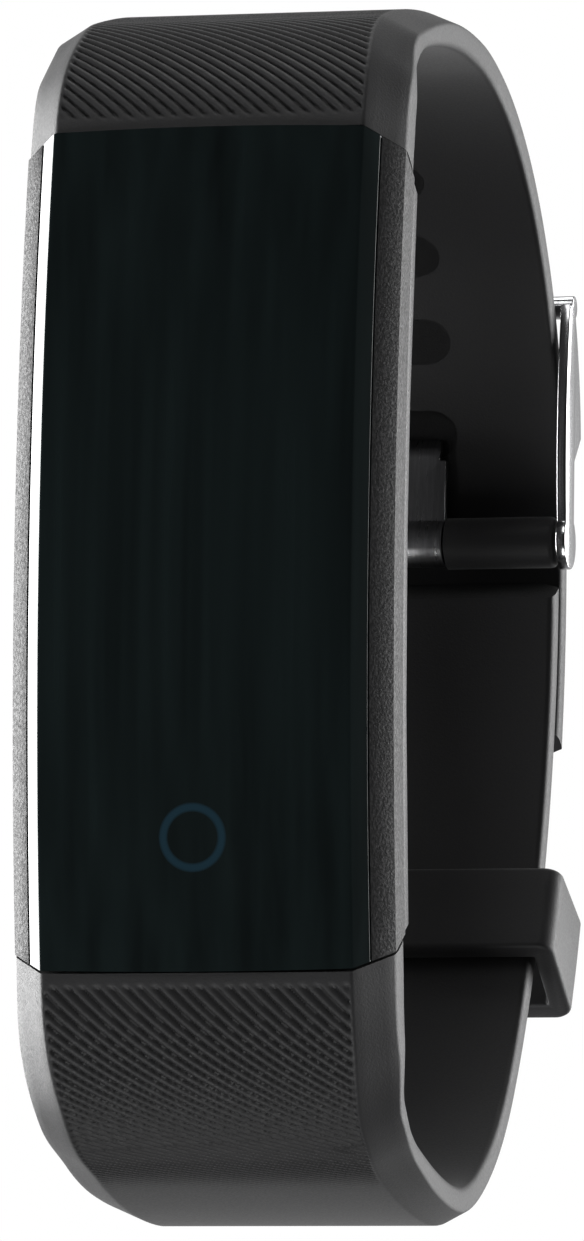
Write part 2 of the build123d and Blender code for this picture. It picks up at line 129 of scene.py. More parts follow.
tree.links.new(falloff.outputs["Color"], seen.inputs["A"])
tree.links.new(ray.outputs["Is Camera Ray"], seen.inputs["Factor"])
tree.links.new(seen.outputs["Result"], sky.inputs["Color"])

for name, (place, size, watts) in SOFT_BOXES.items():
    lamp = bpy.data.objects.new(name, bpy.data.lights.new(name, "AREA"))
    lamp.data.size = size
    lamp.data.energy = watts
    lamp.location = place
    lamp.rotation_mode = "QUATERNION"
    lamp.rotation_quaternion = Vector(place).to_track_quat("Z", "Y")
    scene.collection.objects.link(lamp)

floor_bm = bmesh.new()
bmesh.ops.create_grid(floor_bm, x_segments=1, y_segments=1, size=3.0)
bmesh.ops.translate(floor_bm, verts=floor_bm.verts, vec=(0, 0, FLOOR_Z))
floor = bpy.data.objects.new("floor", bpy.data.meshes.new("floor"))
floor_bm.to_mesh(floor.data)
floor_bm.free()
scene.collection.objects.link(floor)
paper = bpy.data.materials.new("pale_floor")
paper.use_nodes = True
paper.node_tree.nodes["Principled BSDF"].inputs["Base Color"].default_value = (0.86, 0.86, 0.85, 1)
paper.node_tree.nodes["Principled BSDF"].inputs["Roughness"].default_value = 0.9
floor.data.materials.append(paper)
floor.visible_diffuse = False      # the floor throws no light on the band and stops none
floor.visible_glossy = False
floor.visible_shadow = False
floor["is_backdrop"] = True


# ---- Cover glass ----------------------------------------------------------------------------------
# One strip of black-backed glass, bent along its length, ground with a slight crown across its width
# and a polished bevel down each side. A thin ring printed behind it marks the touch key.
MM = 0.001
FRONT_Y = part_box("cover_glass")[0].y
MODULE_Z = sum(corner.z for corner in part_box("cover_glass")) / 2
CASE_R = 137.0                     # the module's lengthwise curve
GLASS_HALF_L = 21.4
END_SLANT = math.radians(28)
END_GAP = 0.08
CROWN, GLASS_FLAT, GLASS_HALF_W = 0.25, 8.0, 8.75
BEVEL_DEPTH, GLASS_BACK = 1.1, 1.35
KEY_HEIGHT, KEY_RING_R, KEY_STROKE = -14.7, 1.5, 0.36
SEAM_DEPTH = CASE_R - math.sqrt(CASE_R ** 2 - GLASS_HALF_L ** 2)


def at(x, depth, height):
    """A place in metres from millimetres: across, behind the glass's apex, above the glass's middle."""
    return Vector((x * MM, FRONT_Y + depth * MM, MODULE_Z + height * MM))


def piece(name, bm, body, slot, *nodes):
    """Makes a finished piece from a bmesh in the row frame, riding on its body for its CAD nodes."""
    obj = bpy.data.objects.new(name, bpy.data.meshes.new(name))
    bm.to_mesh(obj.data)
    bm.free()
    scene.collection.objects.link(obj)
    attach(obj, body)
    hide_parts(*nodes)
    return obj


def smooth(obj, sharp_degrees):
    """Smooth shading everywhere but across edges sharper than the angle."""
    obj.data.shade_smooth()
    obj.data.set_sharp_from_angle(angle=math.radians(sharp_degrees))


def trim_end(bm, sign, gap, keep_module):
    """Cuts along the slanted joint between module and strap, and closes the cut."""
    plane = Vector((0, math.sin(END_SLANT), sign * math.cos(END_SLANT)))
    cut = bmesh.ops.bisect_plane(bm, geom=bm.verts[:] + bm.edges[:] + bm.faces[:], dist=1e-8,
                                 plane_co=at(0, SEAM_DEPTH, sign * (GLASS_HALF_L + gap)), plane_no=plane,
                                 clear_outer=keep_module, clear_inner=not keep_module)
    rim = [e for e in cut["geom_cut"] if isinstance(e, bmesh.types.BMEdge)]
    bmesh.ops.contextual_create(bm, geom=rim)


def shader_of(name, colour, roughness, metallic=0.0):
    """A new material's node tree and shader."""
    material = bpy.data.materials.new(name)
    material.use_nodes = True
    nodes = material.node_tree
    shader = nodes.nodes["Principled BSDF"]
    shader.inputs["Base Color"].default_value = (*colour, 1)
    shader.inputs["Roughness"].default_value = roughness
    shader.inputs["Metallic"].default_value = metallic
    return material, nodes, shader


def object_noise(nodes, scale, stretch=(1, 1, 1), detail=4.0):
    """Noise in the object's own metres; scale counts features along a metre."""
    place = nodes.nodes.new("ShaderNodeTexCoord")
    mapping = nodes.nodes.new("ShaderNodeMapping")
    noise = nodes.nodes.new("ShaderNodeTexNoise")
    mapping.inputs["Scale"].default_value = stretch
    noise.inputs["Scale"].default_value = scale
    noise.inputs["Detail"].default_value = detail
    nodes.links.new(place.outputs["Object"], mapping.inputs["Vector"])
    nodes.links.new(mapping.outputs["Vector"], noise.inputs["Vector"])
    return noise.outputs["Fac"]


def spread(nodes, value, low, high, to_low, to_high):
    """Maps a value between two limits to another range."""
    remap = nodes.nodes.new("ShaderNodeMapRange")
    remap.inputs["From Min"].default_value = low
    remap.inputs["From Max"].default_value = high
    remap.inputs["To Min"].default_value = to_low
    remap.inputs["To Max"].default_value = to_high
    nodes.links.new(value, remap.inputs["Value"])
    return remap.outputs["Result"]


def blend_colours(nodes, fac, first, second):
    """Mixes two colours, or a colour's socket with a colour, by a value."""
    mix = nodes.nodes.new("ShaderNodeMix")
    mix.data_type = "RGBA"
    nodes.links.new(fac, mix.inputs["Factor"])
    for socket, colour in (("A", first), ("B", second)):
        if isinstance(colour, tuple):
            mix.inputs[socket].default_value = (*colour, 1)
        else:
            nodes.links.new(colour, mix.inputs[socket])
    return mix.outputs["Result"]


def add_bump(nodes, shader, height, depth):
    """Relief whose full height is depth metres."""
    bump = nodes.nodes.new("ShaderNodeBump")
    bump.inputs["Distance"].default_value = depth
    nodes.links.new(height, bump.inputs["Height"])
    nodes.links.new(bump.outputs["Normal"], shader.inputs["Normal"])


def black_glass():
    """Glass over black ink with painted sheen in faint lengthwise streaks, the key's ring in teal, and light
    smears.
    """
    material, nodes, shader = shader_of("black_glass", (0.002, 0.0025, 0.003), 0.06)
    shader.inputs["IOR"].default_value = 1.5
    # Painted sheen: lengthwise noise lightens the black ink's colour in faint streaks.
    painted_sheen_streaks = object_noise(nodes, 900, (1.0, 1.0, 0.02), 2.0)
    ink_with_painted_sheen = blend_colours(nodes, painted_sheen_streaks, (0.0036, 0.0050, 0.0052), (0.0130, 0.0205, 0.0210))
    place = nodes.nodes.new("ShaderNodeTexCoord")
    centred = nodes.nodes.new("ShaderNodeMapping")
    flat = nodes.nodes.new("ShaderNodeVectorMath")
    distance = nodes.nodes.new("ShaderNodeVectorMath")
    from_ring = nodes.nodes.new("ShaderNodeMath")
    size = nodes.nodes.new("ShaderNodeMath")
    centred.inputs["Location"].default_value = -at(0, 0, KEY_HEIGHT)
    flat.operation = "MULTIPLY"
    flat.inputs[1].default_value = (1, 0, 1)
    distance.operation = "LENGTH"
    from_ring.operation = "SUBTRACT"
    from_ring.inputs[1].default_value = KEY_RING_R * MM
    size.operation = "ABSOLUTE"
    nodes.links.new(place.outputs["Object"], centred.inputs["Vector"])
    nodes.links.new(centred.outputs["Vector"], flat.inputs[0])
    nodes.links.new(flat.outputs["Vector"], distance.inputs[0])
    nodes.links.new(distance.outputs["Value"], from_ring.inputs[0])
    nodes.links.new(from_ring.outputs["Value"], size.inputs[0])
    ink = spread(nodes, size.outputs["Value"], KEY_STROKE / 2 * MM * 0.6, KEY_STROKE / 2 * MM * 1.4, 1, 0)
    print_ink_and_painted_sheen = blend_colours(nodes, ink, ink_with_painted_sheen, (0.015, 0.038, 0.055))
    nodes.links.new(print_ink_and_painted_sheen, shader.inputs["Base Color"])
    smears = object_noise(nodes, 180, (1.0, 1.0, 0.4), 5.0)
    nodes.links.new(spread(nodes, smears, 0.3, 0.7, 0.05, 0.09), shader.inputs["Roughness"])
    return material


def along_module(section):
    """A section (across, depth) carried along the module's lengthwise curve, past both its ends."""
    sweep, steps, edge_round = math.radians(21), 72, 0.09
    bm = bmesh.new()
    bm.faces.new([bm.verts.new(at(x, depth, 0)) for x, depth in section])
    corners = [v for v in bm.verts if (round(abs(v.co.x) / MM, 3), round((v.co.y - FRONT_Y) / MM, 3))
               in ((GLASS_FLAT, CROWN), (GLASS_HALF_W, BEVEL_DEPTH))]
    bmesh.ops.bevel(bm, geom=corners, offset=edge_round * MM, affect="VERTICES", segments=3,
                    profile=0.5, material=-1)
    hub = at(0, CASE_R, 0)
    bmesh.ops.rotate(bm, verts=bm.verts, cent=hub, matrix=Matrix.Rotation(-sweep / 2, 3, "X"))
    bmesh.ops.spin(bm, geom=bm.verts[:] + bm.edges[:] + bm.faces[:], cent=hub, axis=(1, 0, 0),
                   angle=sweep, steps=steps)
    return bm


crown_half = (0.2, 0.4, 0.6, 0.8, 0.975, 1)
crown_columns = [-share for share in reversed(crown_half)] + [0] + list(crown_half)
glass_section = [(GLASS_FLAT * share, CROWN * share ** 2) for share in crown_columns]
glass_section += [(GLASS_HALF_W, BEVEL_DEPTH), (GLASS_HALF_W, GLASS_BACK),
                  (-GLASS_HALF_W, GLASS_BACK), (-GLASS_HALF_W, BEVEL_DEPTH)]
glass_bm = along_module(glass_section)
for end in (1, -1):
    trim_end(glass_bm, end, -END_GAP, True)
bmesh.ops.recalc_face_normals(glass_bm, faces=glass_bm.faces)
glass = piece("cover_glass_crowned", glass_bm, "tracker", "black_glass", "cover_glass")
glass.data.materials.append(black_glass())
smooth(glass, 30)


# ---- Module housing and rear cover ----------------------------------------------------------------
# Two moulded shells: the top one in charcoal plastic with a fine sparkle texture on its flanks, the
# rear one in satin black with the sensor's round boss. Their sharp edges are broken as moulded.
def rounded_copy(node, width, sharp_degrees=30, segments=2):
    """The node's own shape with its loose triangles joined and its sharp edges rounded."""
    bm = bmesh.new()
    bm.from_mesh(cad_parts[node].data)
    bmesh.ops.remove_doubles(bm, verts=bm.verts, dist=2e-6)
    bmesh.ops.dissolve_limit(bm, angle_limit=math.radians(0.6), use_dissolve_boundaries=False,
                             verts=bm.verts, edges=bm.edges)
    sharp = [e for e in bm.edges
             if e.is_manifold and e.calc_face_angle() > math.radians(sharp_degrees)]
    bmesh.ops.bevel(bm, geom=sharp, offset=width, offset_type="OFFSET", affect="EDGES",
                    segments=segments, profile=0.5, clamp_overlap=True, material=-1)
    return bm


def speckled_plastic(name, colour, sparkle, roughness):
    """Spark-textured plastic: fine grains, some of which catch the light."""
    material, nodes, shader = shader_of(name, colour, roughness)
    grain = object_noise(nodes, 6500, detail=3.0)
    tone = spread(nodes, grain, 0.42, 0.68, 0.0, 1.0)
    nodes.links.new(blend_colours(nodes, tone, colour, sparkle), shader.inputs["Base Color"])
    nodes.links.new(spread(nodes, grain, 0.3, 0.7, roughness + 0.1, roughness - 0.12),
                    shader.inputs["Roughness"])
    add_bump(nodes, shader, grain, 0.00004)
    shader.inputs["Specular IOR Level"].default_value = 0.3
    return material


housing = piece("top_housing_shell", rounded_copy("top_housing", 0.07 * MM), "tracker", "case_plastic",
                "top_housing")
housing.data.materials.append(speckled_plastic("case_plastic", (0.004, 0.004, 0.0045),
                                               (0.024, 0.024, 0.025), 0.60))
smooth(housing, 40)
rear = piece("rear_cover_shell", rounded_copy("rear_cover", 0.08 * MM), "tracker", "rear_plastic",
             "rear_cover")
rear.data.materials.append(speckled_plastic("rear_plastic", (0.010, 0.010, 0.011),
                                            (0.022, 0.022, 0.023), 0.42))
smooth(rear, 40)


# ---- Straps ---------------------------------------------------------------------------------------
# Two elastomer halves, moulded flat and worn bent. Each one is thick at the module, has sloping
# flanks along both edges, and carries slanting ribs that sink into a smooth face after the corner.
SECTION_FLAT, SECTION_HALF, SECTION_FLANK, SECTION_T = 7.95, 9.8, 1.2, 2.0
HALF_WIDTH = ((3.5, 9.8), (7.0, 9.45), (12.0, 9.2), (34.0, 8.4))              # by depth
FLAT_HALF_WIDTH = ((1.9, 7.95), (6.5, 7.62), (12.0, 7.38), (34.0, 7.2))       # by depth
FLANK_DEPTH = ((0.0, 2.1), (5.0, 1.75), (9.5, 1.05), (20.0, 0.7))             # by distance along
THICKNESS = ((0.0, 4.3), (12.5, 2.0))                                         # by distance along
RIB_PITCH, RIB_DEPTH = 0.755, 0.15
RIBS_FROM, RIBS_FADE, RIBS_END = 0.5, 11.5, 17.0
FINE_STEP, COARSE_STEP = 0.105, 1.0
UNDER_MODULE = -3.4                # the blank starts this far before the seam, then is trimmed
LOWER_ROUTE = ((1.9, -21.45, -82.6), ((10.8, 66.6), (52.0, 16.0), (20.6, 50.0), (45.2, 43.1)))
UPPER_ROUTE = ((2.1, 21.45, 78.9), ((8.5, -63.0), (72.0, -15.9), (24.466, -84.17), (47.3, -39.84)))
LOWER_LEAN, UPPER_LEAN = (0.85, 0.0425), (-1.0, -0.040)


def ramp(points, value):
    """A smooth line through (place, size) points, level before the first and after the last."""
    if value <= points[0][0]:
        return points[0][1]
    for (a, low), (b, high) in zip(points, points[1:]):
        if value < b:
            share = (value - a) / (b - a)
            return low + (high - low) * share * share * (3 - 2 * share)
    return points[-1][1]


def route_length(route):
    """How long a strap is from the module to its tip, in millimetres."""
    return sum(abs(radius * math.radians(turn)) for radius, turn in route[1])


def along(route, s):
    """Depth, height and heading of a strap's outer face, s millimetres from the module."""
    (depth, height, degrees), arcs = route
    heading = math.radians(degrees)
    for radius, turn in arcs:
        length = abs(radius * math.radians(turn))
        part = min(max(s, 0.0), length)
        way = math.copysign(1.0, turn)
        turned = heading + way * part / radius
        depth += way * radius * (math.sin(turned) - math.sin(heading))
        height -= way * radius * (math.cos(turned) - math.cos(heading))
        heading = turned
        if s <= length:
            s = min(s, 0.0)
            break
        s -= length
    return depth + s * math.cos(heading), height + s * math.sin(heading), heading


def bend(bm, route):
    """Wraps a flat strap blank (across, thickness, distance) round its route. Millimetres become metres."""
    inward = math.copysign(1.0, route[1][0][1])
    stations = {}
    for v in bm.verts:
        x, t, s = v.co
        key = round(s, 4)
        if key not in stations:
            stations[key] = along(route, s)
        depth, height, heading = stations[key]
        v.co = at(x, depth - inward * t * math.sin(heading), height + inward * t * math.cos(heading))


def stretch_piecewise(value, knee, end, new_knee, new_end):
    """Moves 0..knee to 0..new_knee and knee..end to new_knee..new_end."""
    size = abs(value)
    if size <= knee:
        return value * new_knee / knee
    return math.copysign(new_knee + (size - knee) / (end - knee) * (new_end - new_knee), value)


def groove(x, s, lean):
    """0 on the land between two ribs' grooves, 1 at the bottom of a groove."""
    phase = (x - lean[0] * s - lean[1] * s * abs(s)) / RIB_PITCH
    across = 1 - abs(2 * (phase - math.floor(phase)) - 1)
    share = min(max((across - 0.30) / 0.70, 0.0), 1.0)
    return share * share * (3 - 2 * share)


def strap_section(columns):
    """The closed section of a strap blank, its corners rounded, ready to be drawn out along it."""
    bm = bmesh.new()
    outline = [(-SECTION_FLAT, 0), (SECTION_FLAT, 0), (SECTION_HALF, SECTION_FLANK),
               (SECTION_HALF, SECTION_T), (-SECTION_HALF, SECTION_T), (-SECTION_HALF, SECTION_FLANK)]
    bm.faces.new([bm.verts.new((x, t, UNDER_MODULE)) for x, t in outline])
    for t, offset in ((0, 0.12), (SECTION_FLANK, 0.14), (SECTION_T, 0.35)):
        corners = [v for v in bm.verts if abs(v.co.y - t) < 1e-6]
        bmesh.ops.bevel(bm, geom=corners, offset=offset, affect="VERTICES", segments=3, profile=0.5,
                        material=-1)
    for t, count in ((0, columns), (SECTION_T, 15)):
        long_edge = [e for e in bm.edges if e.calc_length() > 10 and abs(e.verts[0].co.y - t) < 1e-6]
        bmesh.ops.subdivide_edges(bm, edges=long_edge, cuts=count)
    flanks = [e for e in bm.edges if e.calc_length() > 1]
    bmesh.ops.subdivide_edges(bm, edges=flanks, cuts=3)
    return bm


def strap_blank(route, lean, columns, tip_r):
    """A strap moulded flat, then shaped, ribbed and bent round its route."""
    bm = strap_section(columns)
    total = route_length(route)
    ring = bm.edges[:]
    s = UNDER_MODULE
    while s < total - 1e-6:
        step = FINE_STEP if -0.4 < s < RIBS_END else COARSE_STEP
        if s < -0.4:
            step = 0.5
        if s > total - tip_r - 0.5:
            step = 0.25
        step = min(step, total - s)
        made = bmesh.ops.extrude_edge_only(bm, edges=ring)["geom"]
        ring = [g for g in made if isinstance(g, bmesh.types.BMEdge)]
        moved = [g for g in made if isinstance(g, bmesh.types.BMVert)]
        bmesh.ops.translate(bm, verts=moved, vec=(0, 0, step))
        s += step
    bmesh.ops.contextual_create(bm, geom=ring)
    # Groove depth per vertex: it sinks the grooves and also sets the rubber's painted shade.
    hollow = bm.verts.layers.float.new("groove")
    shapes = {}
    for v in bm.verts:
        x, t, s = v.co
        key = round(s, 4)
        if key not in shapes:
            depth = along(route, s)[0]
            tip = max(0.0, s - (total - tip_r)) if tip_r else 0.0
            narrow = tip_r - math.sqrt(max(tip_r ** 2 - tip ** 2, 0.0)) if tip_r else 0.0
            fade = min(max((s - RIBS_FROM) / 0.25, 0), 1) * ramp(((RIBS_FADE, 1.0), (RIBS_END, 0.0)), s)
            shapes[key] = (ramp(FLAT_HALF_WIDTH, depth) - narrow, ramp(HALF_WIDTH, depth) - narrow,
                           ramp(FLANK_DEPTH, s), ramp(THICKNESS, s), fade)
        flat, half, flank, thick, fade = shapes[key]
        v.co.x = stretch_piecewise(x, SECTION_FLAT, SECTION_HALF, flat, half)
        v.co.y = stretch_piecewise(t, SECTION_FLANK, SECTION_T, flank, thick)
        if t < 0.02 and fade > 0:
            edge = min(max((SECTION_FLAT - 0.10 - abs(x)) / 0.12, 0.0), 1.0)
            v[hollow] = groove(v.co.x, s, lean) * fade * edge
            v.co.y += RIB_DEPTH * v[hollow]
    bend(bm, route)
    bmesh.ops.recalc_face_normals(bm, faces=bm.faces)
    return bm


def tool_object(bm):
    """A passing object that holds a shape to be joined or cut out."""
    tool = bpy.data.objects.new("tool", bpy.data.meshes.new("tool"))
    bmesh.ops.recalc_face_normals(bm, faces=bm.faces)
    bm.to_mesh(tool.data)
    bm.free()
    scene.collection.objects.link(tool)
    return tool


def combine(obj, operation, bm):
    """Joins a closed shape to a piece, or cuts it out."""
    tool = tool_object(bm)
    modifier = obj.modifiers.new(operation, "BOOLEAN")
    modifier.operation = operation
    modifier.solver = "MANIFOLD"
    modifier.object = tool
    bpy.context.view_layer.update()
    shaped = bpy.data.meshes.new_from_object(obj.evaluated_get(bpy.context.evaluated_depsgraph_get()))
    obj.modifiers.clear()
    obj.data = shaped
    bpy.data.objects.remove(tool)


def rod(radius, half_length, depth, height, segments=48, rounding=0.0):
    """A cylinder across the strap."""
    bm = bmesh.new()
    bmesh.ops.create_cone(bm, cap_ends=True, segments=segments, radius1=radius * MM, radius2=radius * MM,
                          depth=2 * half_length * MM)
    if rounding:
        rims = [e for e in bm.edges if abs(abs(e.verts[0].co.z) - half_length * MM) < 1e-7
                and abs(e.verts[0].co.z - e.verts[1].co.z) < 1e-7]
        bmesh.ops.bevel(bm, geom=rims, offset=rounding * MM, affect="EDGES", segments=3, profile=0.5,
                        material=-1)
    bmesh.ops.rotate(bm, verts=bm.verts, matrix=Matrix.Rotation(math.pi / 2, 3, "Y"))
    bmesh.ops.translate(bm, verts=bm.verts, vec=at(0, depth, height))
    return bm


def block(x, depth, height):
    """A box from three (low, high) pairs in millimetres."""
    bm = bmesh.new()
    bmesh.ops.create_cube(bm, size=1.0)
    low, high = at(x[0], depth[0], height[0]), at(x[1], depth[1], height[1])
    bmesh.ops.scale(bm, verts=bm.verts, vec=high - low)
    bmesh.ops.translate(bm, verts=bm.verts, vec=(low + high) / 2)
    return bm


def strap_rubber(name, colour, roughness):
    """Satin elastomer: even charcoal, a very fine mould texture, and painted shade darkening the colour down
    in the grooves.
    """
    material, nodes, shader = shader_of(name, colour, roughness)
    shader.inputs["Specular IOR Level"].default_value = 0.38
    shader.inputs["Sheen Weight"].default_value = 0.04
    shader.inputs["Sheen Roughness"].default_value = 0.45
    cloud = object_noise(nodes, 120, detail=5.0)
    shade = spread(nodes, cloud, 0.3, 0.7, 0.0, 1.0)
    tone = blend_colours(nodes, shade, tuple(c * 0.88 for c in colour), tuple(c * 1.12 for c in colour))
    # Painted shade: the colour darkens with each vertex's groove depth, where the grooves would lie in
    # shadow.
    hollow = nodes.nodes.new("ShaderNodeAttribute")
    hollow.attribute_name = "groove"
    tone = blend_colours(nodes, spread(nodes, hollow.outputs["Fac"], 0.15, 1.0, 0.0, 0.8), tone,
                         tuple(c * 0.25 for c in colour))
    nodes.links.new(tone, shader.inputs["Base Color"])
    grain = object_noise(nodes, 9000, detail=2.0)
    nodes.links.new(spread(nodes, grain, 0.3, 0.7, roughness - 0.06, roughness + 0.08),
                    shader.inputs["Roughness"])
    add_bump(nodes, shader, grain, 0.000012)
    return material


EYE_DEPTH, EYE_HEIGHT, EYE_HALF_W, EYE_R = 4.3, 18.1, 6.4, 1.05
EYE_TAB_HALF_T, EYE_TAB_REACH = 1.0, 4.0
BAR_BORE_R, PAST_EDGE = 0.70, 12
RIB_COLUMNS = 156
RUBBER = strap_rubber("strap_rubber", (0.019, 0.019, 0.020), 0.56)


def make_strap(name, route, lean, tip_r, sign, node):
    """A strap with the tab that holds its spring bar inside the module."""
    bm = strap_blank(route, lean, RIB_COLUMNS, tip_r)
    trim_end(bm, sign, END_GAP, False)
    bmesh.ops.recalc_face_normals(bm, faces=bm.faces)
    strap = piece(name, bm, "tracker", "strap_rubber", node)
    reach = sorted((sign * EYE_HEIGHT, sign * (EYE_HEIGHT + EYE_TAB_REACH)))
    tab = (EYE_DEPTH - EYE_TAB_HALF_T, EYE_DEPTH + EYE_TAB_HALF_T)
    combine(strap, "UNION", rod(EYE_R, EYE_HALF_W, EYE_DEPTH, sign * EYE_HEIGHT))
    combine(strap, "UNION", block((-EYE_HALF_W, EYE_HALF_W), tab, reach))
    combine(strap, "DIFFERENCE", rod(BAR_BORE_R, PAST_EDGE, EYE_DEPTH, sign * EYE_HEIGHT))
    return strap


HOLE_W, HOLE_L, HOLE_PITCH, HOLE_RIM = 5.0, 2.6, 5.5, 0.16
HOLE_IN_USE = 12.8                 # its height; five more lie above it and three below


def hole_distances():
    """How far along the upper strap each hole lies."""
    (corner, turn), (shelf, bow), (dome, over), (tail, _) = UPPER_ROUTE[1]
    dome_start = corner * math.radians(-turn) + shelf * math.radians(-bow)
    dome_end = dome_start + dome * math.radians(-over)
    low, high = dome_start, dome_end + 8
    while high - low > 1e-5:
        middle = (low + high) / 2
        depth, height, heading = along(UPPER_ROUTE, middle)
        below = height + math.cos(heading) * -SECTION_T / 2 < HOLE_IN_USE
        low, high = (low, middle) if below else (middle, high)
    pitch_on_dome = HOLE_PITCH * dome / (dome - SECTION_T / 2)
    pitch_on_tail = HOLE_PITCH * tail / (tail - SECTION_T / 2)
    return [low - pitch_on_dome * i for i in range(5, 0, -1)] + [low + pitch_on_tail * i for i in range(4)]


def hole_cutters():
    """Slots through the strap, each with a small flare at both faces."""
    bm = bmesh.new()
    x, z, flare = HOLE_W / 2, HOLE_L / 2, 0.4 + HOLE_RIM
    levels = ((HOLE_RIM, 0.0), (SECTION_T - HOLE_RIM, 0.0), (SECTION_T + 0.4, flare))
    for s in hole_distances():
        ring = [bm.verts.new((a, -0.4, s + b)) for a, b in ((-x, -z), (x, -z), (x, z), (-x, z))]
        bm.faces.new(ring)
        rounded = bmesh.ops.bevel(bm, geom=ring, offset=z * 0.99, affect="VERTICES", segments=7,
                                  profile=0.5, material=-1)["verts"]
        centre = Matrix.Translation((0, 0, -s))
        bmesh.ops.scale(bm, verts=rounded, vec=((x + flare) / x, 1, (z + flare) / z), space=centre)
        rim, before = rounded[0].link_faces[0].edges[:], flare
        depth_before = -0.4
        for level, grow in levels:
            made = bmesh.ops.extrude_edge_only(bm, edges=rim)["geom"]
            rim = [g for g in made if isinstance(g, bmesh.types.BMEdge)]
            verts = [g for g in made if isinstance(g, bmesh.types.BMVert)]
            bmesh.ops.translate(bm, verts=verts, vec=(0, level - depth_before, 0))
            bmesh.ops.scale(bm, verts=verts, vec=((x + grow) / (x + before), 1, (z + grow) / (z + before)),
                            space=centre)
            before, depth_before = grow, level
        bmesh.ops.contextual_create(bm, geom=rim)
    bend(bm, UPPER_ROUTE)
    return bm


TAIL_TIP_R = 5.5
upper = make_strap("upper_strap_ribbed", UPPER_ROUTE, UPPER_LEAN, TAIL_TIP_R, 1, "upper_strap")
combine(upper, "DIFFERENCE", hole_cutters())
upper.data.materials.clear()
upper.data.materials.append(RUBBER)
smooth(upper, 48)

bar_low, bar_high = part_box("buckle_bar_tube")
BAR_DEPTH = ((bar_low.y + bar_high.y) / 2 - FRONT_Y) / MM
BAR_HEIGHT = ((bar_low.z + bar_high.z) / 2 - MODULE_Z) / MM
KNUCKLE_R, KNUCKLE_HALF_W, KNUCKLE_ROUND = 1.4, 8.4, 0.3
NOTCH_HALF_W, NOTCH_BELOW, NOTCH_ABOVE = 2.35, 1.9, 4.0
NOTCH_DEPTHS = (40, 60)
lower = make_strap("lower_strap_ribbed", LOWER_ROUTE, LOWER_LEAN, 0, -1, "lower_strap")
combine(lower, "UNION", rod(KNUCKLE_R, KNUCKLE_HALF_W, BAR_DEPTH, BAR_HEIGHT, rounding=KNUCKLE_ROUND))
combine(lower, "DIFFERENCE", rod(BAR_BORE_R, PAST_EDGE, BAR_DEPTH, BAR_HEIGHT))
combine(lower, "DIFFERENCE", block((-NOTCH_HALF_W, NOTCH_HALF_W), NOTCH_DEPTHS,
                                   (BAR_HEIGHT - NOTCH_BELOW, BAR_HEIGHT + NOTCH_ABOVE)))
lower.data.materials.clear()
lower.data.materials.append(RUBBER)
smooth(lower, 48)


# ---- Keeper ---------------------------------------------------------------------------------------
# A plain band of the same elastomer as the straps, moulded as a closed loop with soft edges. It grips
# both layers of strap below the buckle and slides along them.
keeper = piece("keeper_loop_soft", rounded_copy("keeper_loop", 0.28 * MM, segments=3), "keeper",
               "keeper_rubber", "keeper_loop")
keeper.data.materials.append(strap_rubber("keeper_rubber", (0.017, 0.017, 0.018), 0.52))
smooth(keeper, 40)


# ---- Buckle ---------------------------------------------------------------------------------------
# A stainless frame of two thin arms welded to a round far bar, tumbled and polished, so its edges are
# broken and only hairline scratches are left. Its arms hang on the pin tips of the buckle's bar.
def grained(name, low, high, roughness, scale, relief, stretch=(1, 1, 1), metallic=0.0):
    """A surface whose tone, gloss and relief all follow one grain."""
    material, nodes, shader = shader_of(name, low, roughness, metallic)
    grain = object_noise(nodes, scale, stretch)
    tone = spread(nodes, grain, 0.35, 0.65, 0.0, 1.0)
    nodes.links.new(blend_colours(nodes, tone, low, high), shader.inputs["Base Color"])
    nodes.links.new(spread(nodes, grain, 0.3, 0.7, roughness * 1.3, roughness * 0.75),
                    shader.inputs["Roughness"])
    add_bump(nodes, shader, grain, relief)
    return material


buckle = piece("buckle_frame_polished", rounded_copy("buckle_frame", 0.12 * MM), "buckle", "buckle_steel",
               "buckle_frame")
buckle.data.materials.append(grained("buckle_steel", (0.38, 0.38, 0.39), (0.56, 0.56, 0.57), 0.20, 2600,
                                     0.000004, stretch=(1.0, 1.0, 0.08), metallic=1.0))
smooth(buckle, 35)


# ---- Tongue ---------------------------------------------------------------------------------------
# A satin steel strip rolled into a barrel about the spring bar. It comes out through a strap hole and
# rests on the far bar; brushing marks run along it.
tongue = piece("buckle_tongue_satin", rounded_copy("buckle_tongue", 0.10 * MM), "tongue", "tongue_steel",
               "buckle_tongue")
tongue.data.materials.append(grained("tongue_steel", (0.36, 0.36, 0.37), (0.52, 0.52, 0.53), 0.32, 5200,
                                     0.000006, stretch=(1.0, 0.06, 0.06), metallic=1.0))
smooth(tongue, 35)


# ---- Spring bars ----------------------------------------------------------------------------------
# Each of the three bars is a turned tube with a pin at either end, pushed apart by a coil of spring
# wire. Lathe marks ring the tubes and pins.
COIL_R, WIRE_R, COIL_PITCH, PIN_STROKE = 0.34, 0.07, 0.42, 0.8
STEPS_PER_TURN, PIN_INSIDE = 12, 1.55


def dress(material, *nodes):
    """Gives nodes whose shape is already right their finish."""
    for node in nodes:
        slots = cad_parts[node].data.materials
        slots.clear()
        slots.append(material)


def coil_half(side, length, centre):
    """Spring wire wound from the middle of a bar out to one pin."""
    turns = round(length / COIL_PITCH)
    steps = turns * STEPS_PER_TURN
    advance = (length - 2 * WIRE_R) / steps
    bm = bmesh.new()
    bmesh.ops.create_circle(bm, cap_ends=False, segments=8, radius=WIRE_R * MM)
    bmesh.ops.rotate(bm, verts=bm.verts, matrix=Matrix.Rotation(math.pi / 2, 3, "Y") @
                     Matrix.Rotation(math.pi / 2, 3, "X"))
    bmesh.ops.translate(bm, verts=bm.verts, vec=centre + Vector((side * WIRE_R * MM, 0, COIL_R * MM)))
    bmesh.ops.spin(bm, geom=bm.verts[:] + bm.edges[:], cent=centre, axis=(1, 0, 0), steps=steps,
                   angle=2 * math.pi * turns, dvec=(side * advance * MM, 0, 0))
    bmesh.ops.holes_fill(bm, edges=[e for e in bm.edges if e.is_boundary])
    bmesh.ops.recalc_face_normals(bm, faces=bm.faces)
    return bm


